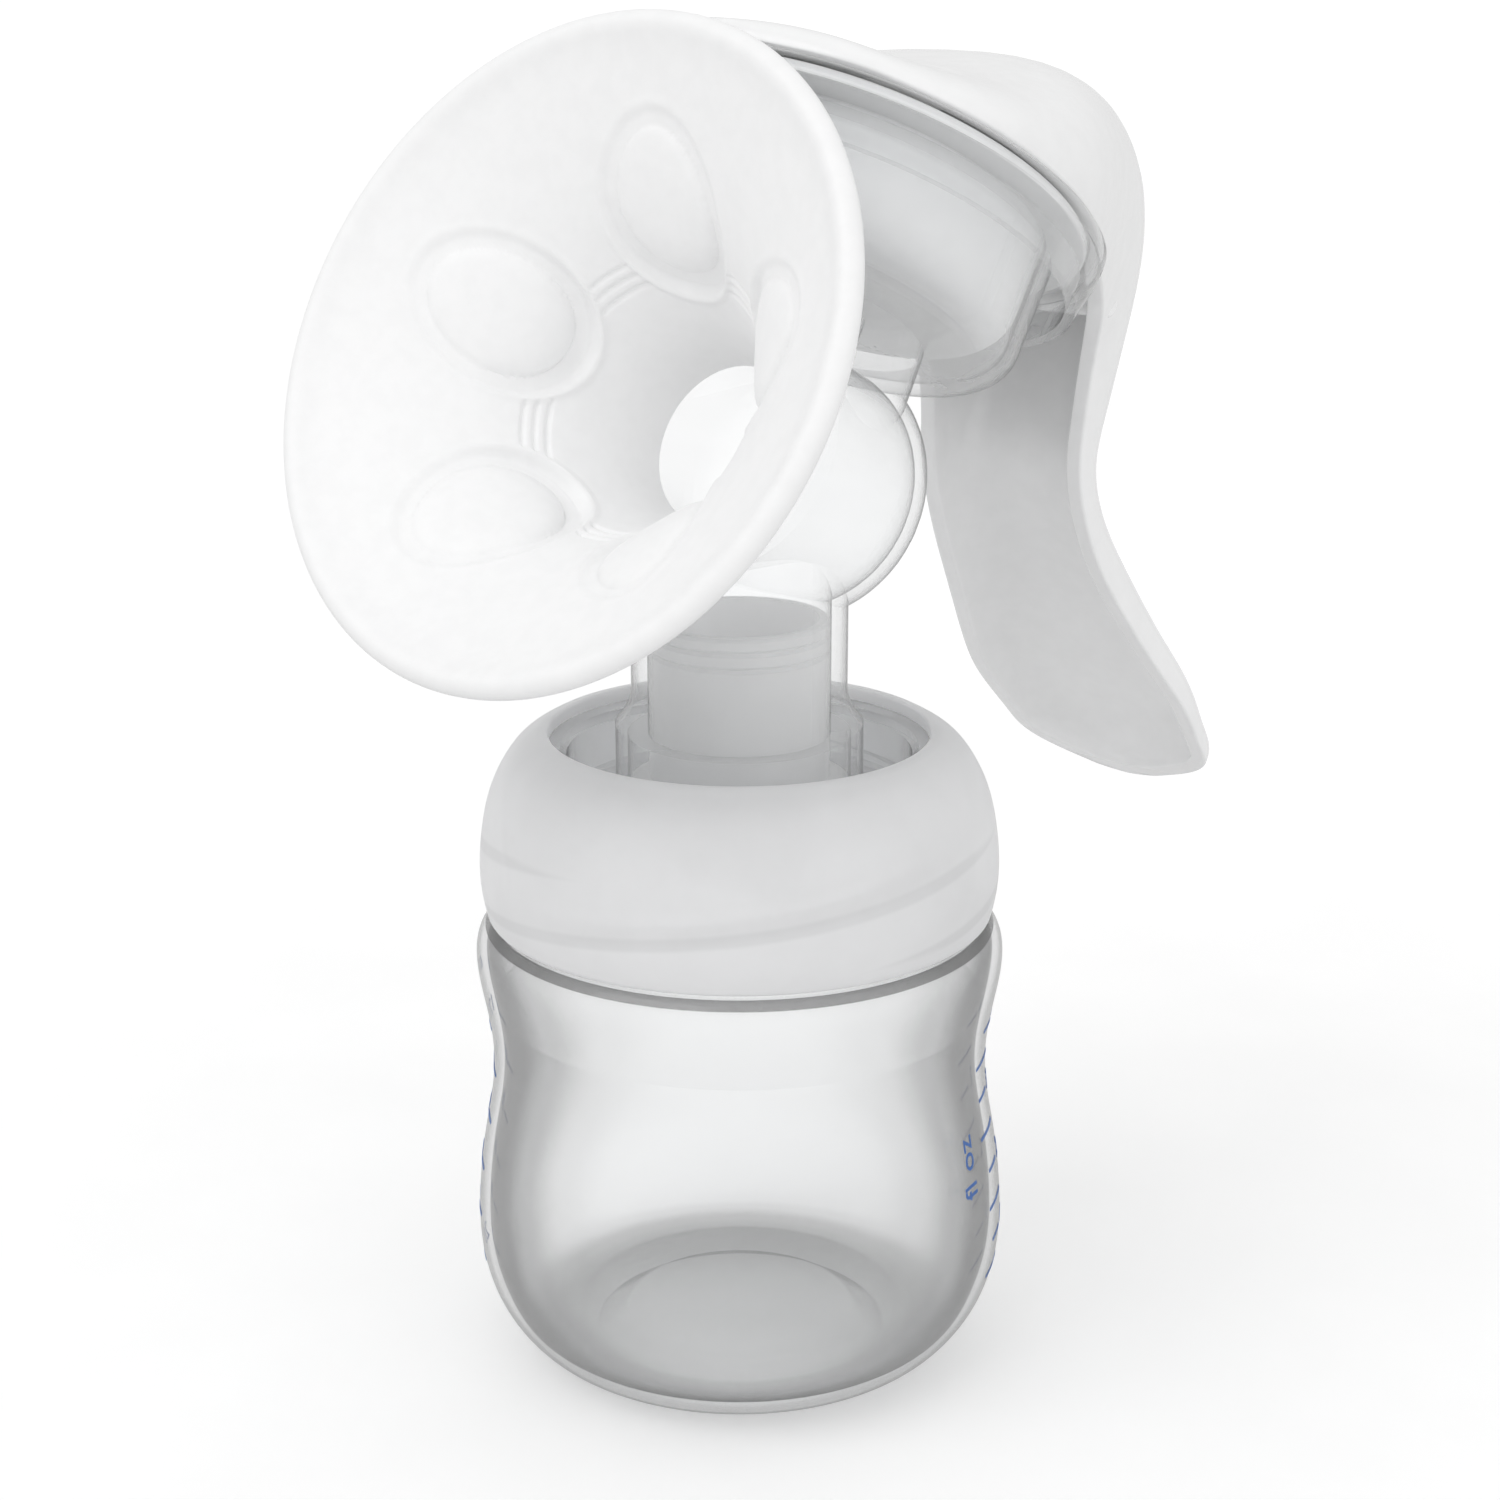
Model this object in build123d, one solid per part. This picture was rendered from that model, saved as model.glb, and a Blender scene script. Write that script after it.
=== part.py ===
from build123d import *
import os
from math import cos, hypot, radians, sin

# Manual breast pump standing on its bottle, in millimetres.
# Origin: centre of the bottle's foot ring, +Z up. The funnel faces -Y and the handle is on the +Y side.

# ---- bottle ----
WALL = 1.3
FOOT_R = 21.6
FOOT_IN_R = 18.6
FOOT_RECESS = 2.6
SIDE = [  # outer radius and height, from the foot up over the waist to the shoulder
    (FOOT_R, 0.0), (25.8, 1.2), (29.3, 4.2), (31.8, 8.4), (33.2, 14.0), (33.3, 20.0), (32.4, 28.0),
    (31.3, 34.5), (31.1, 41.0), (32.1, 47.5), (32.8, 52.0), (32.3, 55.4), (30.6, 57.4),
]
NECK_R = 26.8
NECK_IN_R = 25.0
NECK_FOOT_Z = 58.4
RIM_Z = 77.0

# ---- three-start screw thread shared by bottle and collar ----
STARTS = 3
LEAD = 24.0
THREAD_TURNS = 0.36
THREAD_H = 2.2
BOTTLE_THREAD_R = 28.5
COLLAR_THREAD_R = 27.3
COLLAR_THREAD_Z = 60.6
BOTTLE_THREAD_Z = 64.0
THREAD_ROOT = 0.5

# ---- screw collar ----
COLLAR_SIDE = [  # outer radius and height, from the lower edge to the lip round the hole
    (31.3, 58.1), (31.9, 61.0), (32.1, 65.0), (31.7, 69.0), (30.8, 73.0), (29.1, 76.7),
    (26.9, 79.4), (24.6, 80.8),
]
COLLAR_TOP_Z = 80.9
COLLAR_HOLE_R = 23.35
COLLAR_BORE_R = 29.0
COLLAR_UNDER = [(COLLAR_BORE_R, 73.6), (28.6, 76.2), (27.5, 78.2), (26.4, 79.1)]

# ---- pump body: foot and neck ----
SHELL = 1.5
FLANGE_R = 26.1
FLANGE_Z = 77.2
FLANGE_T = 1.6
DISH_R = 22.7
DISH_FLOOR_Z = 72.5
SPIGOT_R = 15.2
SPIGOT_TOP_Z = 81.8
PUMP_NECK_R = 13.2
PUMP_NECK_BORE = 11.2
PUMP_NECK_FOOT_Z = 87.0

# ---- funnel and cushion, depths measured back from the rim along the funnel axis ----
FUNNEL_TILT = 27.0
FUNNEL_Y = -31.5
FUNNEL_Z = 131.0
TRUMPET = [  # radius and depth of the cushion's inner face, from the lip to the end of its throat
    (36.2, -0.9), (33.4, 0.9), (30.0, 2.9), (26.0, 5.6), (21.6, 9.4), (17.4, 14.6), (13.8, 21.0), (11.3, 27.4),
    (10.0, 33.0),
]
CUSHION_T = 1.8
CUSHION_GAP = 0.3
LIP = [(37.3, 2.3), (38.6, 1.2), (39.4, 0.0), (39.0, -1.1), (37.8, -1.7)]  # rolled lip, from its lower edge
LIP_IN_R = 36.7
SHELL_RIM_R = 36.4
PETALS = 5
PETAL_R = 20.8
PETAL_DEPTH = 10.4
PETAL_LEAN = 45.0
PETAL_HALF = (6.8, 9.6)
PETAL_PROUD = 1.6
TUNNEL_R = 17.0
TUNNEL_END = 58.5
TUNNEL_ROUND = 11.0

# ---- diaphragm cup, heights measured along its axis from the ring's top face ----
CUP_TILT = 32.0
CUP_Y = 20.9
CUP_Z = 145.8
RING_R = 32.9
CUP_R = 27.2
CUP_FLOOR = -18.4
CHIMNEY_R = 16.0
CHIMNEY_BORE = 8.0

# ---- diaphragm and stem ----
DIA_R = 25.2
DIA_FLOOR = -14.4
DIA_T = 1.3
STEM_R = 2.2
STEM_FOOT_R = 8.5
BAR_R = 1.8
BAR_LENGTH = 11.0
BRIDGE_TOP = 5.0
BRIDGE_T = 2.0
BAR_GAP = 0.3

# ---- handle ----
HANDLE_WALL = 2.2
HANDLE = [  # Y and Z of the open edge, lean of the section, half width, depth: cap front to grip tip
    (-5.4, 163.1, 58, 5.0, 2.4), (-3.4, 161.8, 58, 12.5, 3.6), (1.2, 158.9, 58, 21.0, 5.0),
    (8.5, 154.3, 58, 27.6, 7.6), (18.7, 147.9, 58, 31.2, 13.6), (28.8, 141.6, 58, 30.2, 21.6),
    (37.3, 136.2, 55, 26.0, 26.6), (45.6, 131.1, 49, 21.4, 28.8), (51.8, 126.3, 35, 17.6, 26.2),
    (54.8, 120.3, 16, 14.8, 18.8), (55.4, 113.0, 2, 13.4, 13.6), (55.2, 106.0, 4, 13.0, 10.9),
    (56.6, 99.5, 17, 13.1, 9.9), (60.0, 92.0, 29, 13.6, 9.9), (65.0, 84.4, 35, 14.8, 9.7),
    (71.2, 76.0, 38, 16.6, 9.1), (77.6, 68.4, 41, 17.8, 8.4), (84.2, 61.2, 43, 16.8, 7.4),
    (89.4, 55.6, 45, 12.4, 5.4), (91.6, 53.2, 46, 5.6, 3.0),
]
SECTION_POWER = 2.5
PIVOT_Y = 54.0
PIVOT_Z = 128.5
PIN_R = 2.0
PIN_GAP = 0.06
EAR_X = 6.5
EAR_T = 3.0
EAR_R = 4.2
SLOT_W = 5.4
SLOT_L = 13.0
BRIDGE_L = 19.0

FUNNEL = Plane(
    origin=(0, FUNNEL_Y, FUNNEL_Z), x_dir=(1, 0, 0),
    z_dir=(0, -cos(radians(FUNNEL_TILT)), sin(radians(FUNNEL_TILT))),
)
CUP = Plane(
    origin=(0, CUP_Y, CUP_Z), x_dir=(1, 0, 0),
    z_dir=(0, sin(radians(CUP_TILT)), cos(radians(CUP_TILT))),
)


def turned(*curves):
    """A closed outline of radius and height, turned about the Z axis."""
    edges = [edge for curve in curves for edge in curve.edges()]
    return revolve(Plane.XZ * make_face(edges), Axis.Z)


def ring_of(*points):
    """A straight-sided outline turned about the Z axis."""
    return turned(Polyline(*points, close=True))


def pushed(points, distance):
    """The outline moved sideways by a distance, to the left of its direction of travel."""
    moved = []
    for i, (r, z) in enumerate(points):
        r0, z0 = points[max(i - 1, 0)]
        r1, z1 = points[min(i + 1, len(points) - 1)]
        length = hypot(r1 - r0, z1 - z0)
        moved.append((r - distance * (z1 - z0) / length, z + distance * (r1 - r0) / length))
    return moved


def thread(root_r, crest_r, foot_z, turn):
    """One start of a trapezoidal thread, rising anticlockwise from its foot."""
    half = THREAD_H / 2
    path = Helix(LEAD, LEAD * THREAD_TURNS, root_r, center=(0, 0, foot_z))
    section = make_face(Polyline(
        (root_r, foot_z - half), (crest_r, foot_z - half / 2), (crest_r, foot_z + half / 2),
        (root_r, foot_z + half), close=True,
    ))
    return Rot(0, 0, turn) * sweep(Plane.XZ * section, path=path, is_frenet=True)


def bottle():
    outer = Spline(*SIDE)
    inner = Spline((FOOT_R - 1.0, FOOT_RECESS + 0.2), *[(r - WALL, z) for r, z in SIDE[2:-1]],
                   (NECK_IN_R + 2.6, NECK_FOOT_Z - 1.6))
    floor_z = FOOT_RECESS + WALL
    body = turned(
        Polyline((0, FOOT_RECESS), (FOOT_IN_R - 4, FOOT_RECESS), (FOOT_IN_R, 0), SIDE[0]),
        outer,
        Polyline(SIDE[-1], (NECK_R, NECK_FOOT_Z), (NECK_R, RIM_Z), (NECK_IN_R, RIM_Z),
                 (NECK_IN_R, NECK_FOOT_Z), inner @ 1),
        inner,
        Polyline(inner @ 0, (FOOT_IN_R - 3, floor_z), (0, floor_z), (0, FOOT_RECESS)),
    )
    for i in range(STARTS):
        body += thread(NECK_R - THREAD_ROOT, BOTTLE_THREAD_R, BOTTLE_THREAD_Z, i * 360 / STARTS)
    return body


def screw_collar():
    side = Spline(*COLLAR_SIDE)
    under = Spline(*COLLAR_UNDER)
    lip_z = COLLAR_UNDER[-1][1]
    body = turned(
        side,
        Polyline(COLLAR_SIDE[-1], (COLLAR_HOLE_R + 0.3, COLLAR_TOP_Z), (COLLAR_HOLE_R, COLLAR_TOP_Z - 0.3),
                 (COLLAR_HOLE_R, lip_z), COLLAR_UNDER[-1]),
        under,
        Polyline(COLLAR_UNDER[0], (COLLAR_BORE_R, COLLAR_SIDE[0][1]), COLLAR_SIDE[0]),
    )
    for i in range(STARTS):
        body += thread(COLLAR_BORE_R + THREAD_ROOT, COLLAR_THREAD_R, COLLAR_THREAD_Z, i * 360 / STARTS)
    return body


def pump_foot():
    """Flange on the bottle's rim, dished floor, spigot and neck."""
    flange_top = FLANGE_Z + FLANGE_T
    under = DISH_FLOOR_Z - SHELL
    flare = Spline((SPIGOT_R, SPIGOT_TOP_Z), (14.0, 83.4), (PUMP_NECK_R, PUMP_NECK_FOOT_Z))
    return turned(
        Polyline((0, under), (DISH_R, under), (DISH_R, FLANGE_Z), (FLANGE_R, FLANGE_Z),
                 (FLANGE_R, flange_top), (DISH_R - SHELL + 0.8, flange_top), (DISH_R - SHELL, flange_top - 0.8),
                 (DISH_R - SHELL, DISH_FLOOR_Z), (SPIGOT_R, DISH_FLOOR_Z), (SPIGOT_R, SPIGOT_TOP_Z)),
        flare,
        Polyline((PUMP_NECK_R, PUMP_NECK_FOOT_Z), (PUMP_NECK_R, 112), (0, 112), (0, under)),
    )


def funnel_skin(distance, nose):
    """The funnel's face pushed back by a distance, closed to the axis: a cutter or a blank."""
    points = [(r, -depth) for r, depth in pushed(TRUMPET, -distance)]
    return FUNNEL * turned(
        Spline(*points),
        Polyline(points[-1], (0, points[-1][1]), (0, nose), (points[0][0], nose), points[0]),
    )


def tunnel(radius, start, end, corner):
    """A round-ended rod along the funnel axis."""
    rod = Pos(0, 0, -end) * extrude(Circle(radius), end - start)
    far_edge = rod.edges().sort_by(Axis.Z)[0]
    return FUNNEL * fillet(far_edge, corner)


def cup_outside():
    """Ring with its hanging skirt, cup wall and rounded floor."""
    wall = fillet(
        ring_of((0, CUP_FLOOR), (CUP_R - 0.6, CUP_FLOOR), (CUP_R, -3), (0, -3)).edges().sort_by(Axis.Z)[0], 4.0)
    ring = ring_of(
        (24, 0), (RING_R - 0.5, 0), (RING_R, -0.5), (RING_R, -1.3), (RING_R - 0.6, -1.5),
        (RING_R - 0.6, -2.0), (RING_R - 0.1, -2.3), (RING_R - 0.3, -3.6), (31.5, -8.0), (30.2, -8.0),
        (30.7, -3.8), (24, -3.8),
    )
    return CUP * (wall + ring)


def cup_inside():
    """The hollow of the cup, with the ledge that the diaphragm's bead lies on."""
    hollow = fillet(
        ring_of((0, CUP_FLOOR + SHELL), (CUP_R - SHELL - 0.6, CUP_FLOOR + SHELL), (CUP_R - SHELL, -1.6),
                (CUP_R - SHELL, 1), (0, 1)).edges().sort_by(Axis.Z)[0], 3.0)
    return CUP * (hollow + ring_of((0, -1.4), (30.7, -1.4), (30.7, 1), (0, 1)))


def ears():
    """Two clips behind the ring that the handle's pivot pin snaps into from above."""
    pivot = CUP.to_local_coords(Vector(0, PIVOT_Y, PIVOT_Z))
    at_pivot = Pos(pivot.Y, pivot.Z)
    root = Pos(31.2, -3.9) * Rectangle(1.6, 7.4)
    outline = make_hull((root + at_pivot * Circle(EAR_R)).edges())
    mouth = at_pivot * Pos(1.1, 3.2) * Rectangle(2 * PIN_R - 0.8, 6.4)
    plate = outline - at_pivot * Circle(PIN_R + PIN_GAP) - mouth
    side = Plane(origin=(0, 0, 0), x_dir=(0, 1, 0), z_dir=(1, 0, 0))
    pair = [Pos(x, 0, 0) * extrude(side * plate, EAR_T / 2, both=True) for x in (-EAR_X, EAR_X)]
    return CUP * (pair[0] + pair[1])


def pump_body():
    body = pump_foot()
    blank = funnel_skin(CUSHION_T + CUSHION_GAP + SHELL, -0.4)
    body += blank & FUNNEL * Pos(0, 0, -30) * Cylinder(SHELL_RIM_R, 60)
    body += tunnel(TUNNEL_R, 27.0, TUNNEL_END, TUNNEL_ROUND)
    body += CUP * Pos(0, 0, -36) * extrude(Circle(CHIMNEY_R), 36 + CUP_FLOOR + 1)
    body += cup_outside()
    body -= cup_inside()
    body -= funnel_skin(CUSHION_T + CUSHION_GAP, 3)
    body -= tunnel(TUNNEL_R - SHELL, 33.0, TUNNEL_END - SHELL, TUNNEL_ROUND - SHELL)
    body -= CUP * Pos(0, 0, -32) * extrude(Circle(CHIMNEY_BORE), 20)
    body -= Pos(0, 0, 80) * extrude(Circle(PUMP_NECK_BORE), 32)
    body -= Pos(0, 0, 60) * extrude(Circle(SPIGOT_R - SHELL), 20.5)
    body += ears()
    return body


def white_valve():
    """Soft sleeve in the neck with two beads at its top, a foot flange and a duckbill."""
    sleeve = ring_of(
        (9.7, 72.4), (13.4, 72.4), (13.4, 74.4), (11.05, 75.2), (11.05, 90.6), (10.6, 91.0), (11.05, 91.4),
        (11.05, 92.6), (10.6, 93.0), (11.05, 93.4), (11.05, 94.4), (10.7, 94.8), (9.7, 94.8),
    )
    outer = loft([Pos(0, 0, 72.6) * Circle(10.4), Pos(0, 0, 66) * Ellipse(9.6, 5.0), Pos(0, 0, 60) * Ellipse(9.2, 1.3)])
    inner = loft([Pos(0, 0, 72.7) * Circle(9.4), Pos(0, 0, 66) * Ellipse(8.6, 4.0), Pos(0, 0, 59.9) * Ellipse(8.2, 0.35)])
    return sleeve + (outer - inner)


def petals():
    """Raised ovals that follow the trumpet's face, their long sides running in towards the throat."""
    crown = [(r, -depth) for r, depth in pushed(TRUMPET, PETAL_PROUD)]
    buried = [(r, -depth) for r, depth in pushed(TRUMPET, -CUSHION_T / 2)]
    layer = turned(Spline(*crown), Line(crown[-1], buried[-1]), Spline(*buried[::-1]), Line(buried[0], crown[0]))
    ovals = []
    for i in range(PETALS):
        place = Rot(0, 0, i * 360 / PETALS) * Pos(0, PETAL_R, -PETAL_DEPTH) * Rot(PETAL_LEAN, 0, 0)
        ovals.append(layer & place * extrude(Ellipse(*PETAL_HALF), 6, both=True))
    return ovals


def massage_cushion():
    """Soft trumpet with a rolled lip, and five raised petals on its face."""
    front = [(r, -depth) for r, depth in TRUMPET]
    back = [(LIP_IN_R, -1.0)] + [(r, -depth) for r, depth in pushed(TRUMPET, -CUSHION_T)[1:]]
    lip = [(r, -depth) for r, depth in LIP]
    skin = turned(
        Spline(*lip, front[0]),
        Spline(*front),
        Line(front[-1], back[-1]),
        Spline(*back[::-1]),
        Polyline(back[0], (LIP_IN_R, lip[0][1]), lip[0]),
    )
    for oval in petals():
        skin += oval
    return FUNNEL * skin


def diaphragm():
    """Soft cup with a bead lying in the ring, a rounded floor and an opening-free wall."""
    outer = ring_of((0, DIA_FLOOR), (DIA_R - 0.5, DIA_FLOOR), (DIA_R, -1.2), (0, -1.2))
    outer = fillet(outer.edges().sort_by(Axis.Z)[0], 5.0)
    hollow = ring_of((0, DIA_FLOOR + DIA_T), (DIA_R - 0.5 - DIA_T, DIA_FLOOR + DIA_T), (DIA_R - DIA_T, 1), (0, 1))
    hollow = fillet(hollow.edges().sort_by(Axis.Z)[0], 3.7)
    bead = ring_of((DIA_R - DIA_T - 0.4, -1.3), (30.4, -1.3), (30.4, -0.2), (30.1, 0.1), (DIA_R - DIA_T, 0.1))
    return CUP * (outer + bead - hollow)


def stem():
    foot_z = DIA_FLOOR + DIA_T + 0.1
    bar_z = BRIDGE_TOP + BAR_GAP + BAR_R
    foot = ring_of((0, foot_z), (STEM_FOOT_R, foot_z), (STEM_FOOT_R, foot_z + 1.0), (STEM_R + 2.5, foot_z + 1.8),
                   (STEM_R, foot_z + 4.5), (0, foot_z + 4.5))
    rod = Pos(0, 0, foot_z + 4) * extrude(Circle(STEM_R), bar_z - foot_z - 4)
    bar = Pos(0, 0, bar_z) * Rot(0, 90, 0) * Cylinder(BAR_R, BAR_LENGTH)
    return CUP * (foot + rod + chamfer(bar.edges().filter_by(GeomType.CIRCLE), 0.4))


def handle_section(y, z, lean, half_width, depth, inset):
    """One D-shaped section of the handle, its straight side on the open edge."""
    w = half_width - inset
    d = depth - inset
    power = 2 / SECTION_POWER
    arch = [(w * cos(radians(t)) ** power, d * sin(radians(t)) ** power) for t in (10, 26, 44, 66)]
    outline = Spline((w, 0), *arch, (0, d), *[(-x, h) for x, h in arch[::-1]], (-w, 0))
    overshoot = -1.0 if inset else 0.0
    base = Polyline((-w, 0), (-w, overshoot), (w, overshoot), (w, 0)) if inset else Line((-w, 0), (w, 0))
    plane = Plane(origin=(0, y, z), x_dir=(1, 0, 0), z_dir=(0, -sin(radians(lean)), cos(radians(lean))))
    return plane * make_face(outline.edges() + base.edges())


def bridge():
    """Cross plate inside the cap with the slot that the stem's bar hooks over."""
    plate = Pos(0, 1, BRIDGE_TOP - BRIDGE_T / 2) * Box(2 * RING_R, BRIDGE_L, BRIDGE_T)
    slot = Pos(0, 1, BRIDGE_TOP - BRIDGE_T / 2) * extrude(SlotOverall(SLOT_L, SLOT_W, 90), BRIDGE_T, both=True)
    return CUP * (plate - slot)


def handle():
    """Domed cap and grip as one open-backed shell, with its bridge and its pivot pin."""
    blank = loft([handle_section(*station, 0) for station in HANDLE])
    hollow = loft([handle_section(*station, HANDLE_WALL) for station in HANDLE[1:-1]])
    pin = Pos(0, PIVOT_Y, PIVOT_Z) * Rot(0, 90, 0) * Cylinder(PIN_R, 2 * RING_R)
    return (blank - hollow) + ((pin + bridge()) & blank)


NODES = [bottle, screw_collar, pump_body, white_valve, massage_cushion, diaphragm, stem, handle]

if __name__ == "__main__":
    os.makedirs("parts", exist_ok=True)
    for make in NODES:
        solid = make()
        print(make.__name__, round(solid.volume), solid.is_valid, len(solid.solids()), solid.bounding_box())
        export_step(solid, f"parts/{make.__name__}.step")
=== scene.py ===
import math

import bmesh
import bpy
import numpy as np
from mathutils import Matrix, Vector


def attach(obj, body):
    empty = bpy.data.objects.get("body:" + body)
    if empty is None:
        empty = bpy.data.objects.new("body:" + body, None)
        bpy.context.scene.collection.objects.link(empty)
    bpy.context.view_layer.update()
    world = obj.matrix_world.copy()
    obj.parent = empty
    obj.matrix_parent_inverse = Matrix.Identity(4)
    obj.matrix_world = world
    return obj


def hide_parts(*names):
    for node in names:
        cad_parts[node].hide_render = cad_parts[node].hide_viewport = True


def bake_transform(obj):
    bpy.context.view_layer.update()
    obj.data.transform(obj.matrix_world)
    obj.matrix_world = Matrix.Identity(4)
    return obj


# Manual breast pump on its bottle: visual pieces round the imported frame. Lengths below are in millimetres
# and turned into metres where a mesh is made. The funnel faces -Y, the handle is on the +Y side.

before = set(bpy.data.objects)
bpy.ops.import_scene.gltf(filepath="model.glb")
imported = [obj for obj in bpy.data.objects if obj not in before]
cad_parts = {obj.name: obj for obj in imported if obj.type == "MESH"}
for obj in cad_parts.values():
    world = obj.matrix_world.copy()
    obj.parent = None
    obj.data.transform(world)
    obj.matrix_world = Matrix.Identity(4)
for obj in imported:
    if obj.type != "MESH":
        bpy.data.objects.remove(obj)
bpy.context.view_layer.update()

MM = 0.001
FULL_TURN = 2 * math.pi

# ---- dimensions shared with the CAD part ----
WALL = 1.3
SIDE = [
    (21.6, 0.0), (25.8, 1.2), (29.3, 4.2), (31.8, 8.4), (33.2, 14.0), (33.3, 20.0), (32.4, 28.0),
    (31.3, 34.5), (31.1, 41.0), (32.1, 47.5), (32.8, 52.0), (32.3, 55.4), (30.6, 57.4),
]
LEAD = 24.0
THREAD_TURNS = 0.36
THREAD_STARTS = 3
THREAD_H = 2.2
COLLAR_THREAD_Z = 60.6
BOTTLE_THREAD_Z = 64.0
COLLAR_SIDE = [
    (31.3, 58.1), (31.9, 61.0), (32.1, 65.0), (31.7, 69.0), (30.8, 73.0), (29.1, 76.7), (26.9, 79.4),
    (24.6, 80.8),
]
TRUMPET = [
    (36.2, -0.9), (33.4, 0.9), (30.0, 2.9), (26.0, 5.6), (21.6, 9.4), (17.4, 14.6), (13.8, 21.0),
    (11.3, 27.4),
    (10.0, 33.0),
]
LIP = [(37.3, 2.3), (38.6, 1.2), (39.4, 0.0), (39.0, -1.1), (37.8, -1.7)]
CUSHION_T = 1.8
PETALS = 5
PETAL_R = 20.8
PETAL_DEPTH = 10.4
HANDLE = [  # Y and Z of the open edge, lean of the section, half width, depth: cap front to grip tip
    (-5.4, 163.1, 58, 5.0, 2.4), (-3.4, 161.8, 58, 12.5, 3.6), (1.2, 158.9, 58, 21.0, 5.0),
    (8.5, 154.3, 58, 27.6, 7.6), (18.7, 147.9, 58, 31.2, 13.6), (28.8, 141.6, 58, 30.2, 21.6),
    (37.3, 136.2, 55, 26.0, 26.6), (45.6, 131.1, 49, 21.4, 28.8), (51.8, 126.3, 35, 17.6, 26.2),
    (54.8, 120.3, 16, 14.8, 18.8), (55.4, 113.0, 2, 13.4, 13.6), (55.2, 106.0, 4, 13.0, 10.9),
    (56.6, 99.5, 17, 13.1, 9.9), (60.0, 92.0, 29, 13.6, 9.9), (65.0, 84.4, 35, 14.8, 9.7),
    (71.2, 76.0, 38, 16.6, 9.1), (77.6, 68.4, 41, 17.8, 8.4), (84.2, 61.2, 43, 16.8, 7.4),
    (89.4, 55.6, 45, 12.4, 5.4), (91.6, 53.2, 46, 5.6, 3.0),
]
PIVOT = (54.0, 128.5)


# ---- mesh helpers ----
def placement(origin, axis):
    """Local Z along the axis, local X along the object's X, origin in millimetres."""
    z = Vector(axis).normalized()
    x = Vector((1, 0, 0))
    y = z.cross(x)
    matrix = Matrix((x, y, z)).transposed().to_4x4()
    matrix.translation = Vector(origin) * MM
    return matrix


UPRIGHT = placement((0, 0, 0), (0, 0, 1))
FUNNEL = placement((0, -31.5, 131.0), (0, -math.cos(math.radians(27)), math.sin(math.radians(27))))
CUP = placement((0, 20.9, 145.8), (0, math.sin(math.radians(32)), math.cos(math.radians(32))))


def spline_at(knots, values, where):
    """Natural cubic spline through the values at the knots, read at the given places."""
    t = np.asarray(knots, float)
    p = np.asarray(values, float).reshape(len(t), -1)
    h = np.diff(t)
    n = len(t)
    a = np.eye(n)
    b = np.zeros_like(p)
    for i in range(1, n - 1):
        a[i, i - 1:i + 2] = h[i - 1], 2 * (h[i - 1] + h[i]), h[i]
        b[i] = 6 * ((p[i + 1] - p[i]) / h[i] - (p[i] - p[i - 1]) / h[i - 1])
    m = np.linalg.solve(a, b)
    s = np.atleast_1d(np.asarray(where, float))
    i = np.clip(np.searchsorted(t, s, side="right") - 1, 0, n - 2)
    u = (s - t[i])[:, None]
    v = (t[i + 1] - s)[:, None]
    k = h[i][:, None]
    curve = (m[i] * v ** 3 + m[i + 1] * u ** 3) / (6 * k)
    return curve + (p[i] / k - m[i] * k / 6) * v + (p[i + 1] / k - m[i + 1] * k / 6) * u


def chord(points):
    """Running length along the points."""
    p = np.asarray(points, float)
    return np.concatenate([[0], np.cumsum(np.linalg.norm(np.diff(p, axis=0), axis=1))])


def through(points, count):
    """Evenly spread points on a smooth curve through the given ones."""
    t = chord(points)
    return [tuple(p) for p in spline_at(t, points, np.linspace(0, t[-1], count))]


def rounded(corners, steps=5):
    """A polyline whose corners given as (r, z, radius) are rounded off."""
    path = []
    for i, corner in enumerate(corners):
        if len(corner) == 2:
            path.append(tuple(corner))
            continue
        here = Vector(corner[:2])
        before = (Vector(corners[i - 1][:2]) - here).normalized()
        after = (Vector(corners[(i + 1) % len(corners)][:2]) - here).normalized()
        half = before.angle(after) / 2
        reach = corner[2] / math.tan(half)
        middle = here + (before + after).normalized() * (corner[2] / math.sin(half))
        first = here + before * reach - middle
        last = here + after * reach - middle
        sweep = first.angle_signed(last)
        for k in range(steps + 1):
            turn = Matrix.Rotation(-sweep * k / steps, 2)
            path.append(tuple(middle + turn @ first))
    return path


def mesh_piece(name, verts, faces, place=UPRIGHT, sharp=32, slots=None):
    """A smooth-shaded object from millimetre vertices in a local frame."""
    mesh = bpy.data.meshes.new(name)
    points = [place @ (Vector(v) * MM) for v in verts]
    mesh.from_pydata(points, [], faces)
    if slots is not None:
        mesh.polygons.foreach_set("material_index", slots)
    tidy = bmesh.new()
    tidy.from_mesh(mesh)
    bmesh.ops.remove_doubles(tidy, verts=tidy.verts, dist=1e-7)
    bmesh.ops.dissolve_degenerate(tidy, edges=tidy.edges, dist=1e-7)
    bmesh.ops.recalc_face_normals(tidy, faces=tidy.faces)
    tidy.to_mesh(mesh)
    tidy.free()
    mesh.shade_smooth()
    mesh.set_sharp_from_angle(angle=math.radians(sharp))
    piece = bpy.data.objects.new(name, mesh)
    bpy.context.scene.collection.objects.link(piece)
    return piece


def joined(name, pieces):
    """Several meshes as one object, keeping the first one's materials."""
    built = bmesh.new()
    for piece in pieces:
        built.from_mesh(piece.data)
    mesh = pieces[0].data
    built.to_mesh(mesh)
    built.free()
    mesh.name = name
    for piece in pieces[1:]:
        bpy.data.objects.remove(piece)
    pieces[0].name = name
    return pieces[0]


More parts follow.
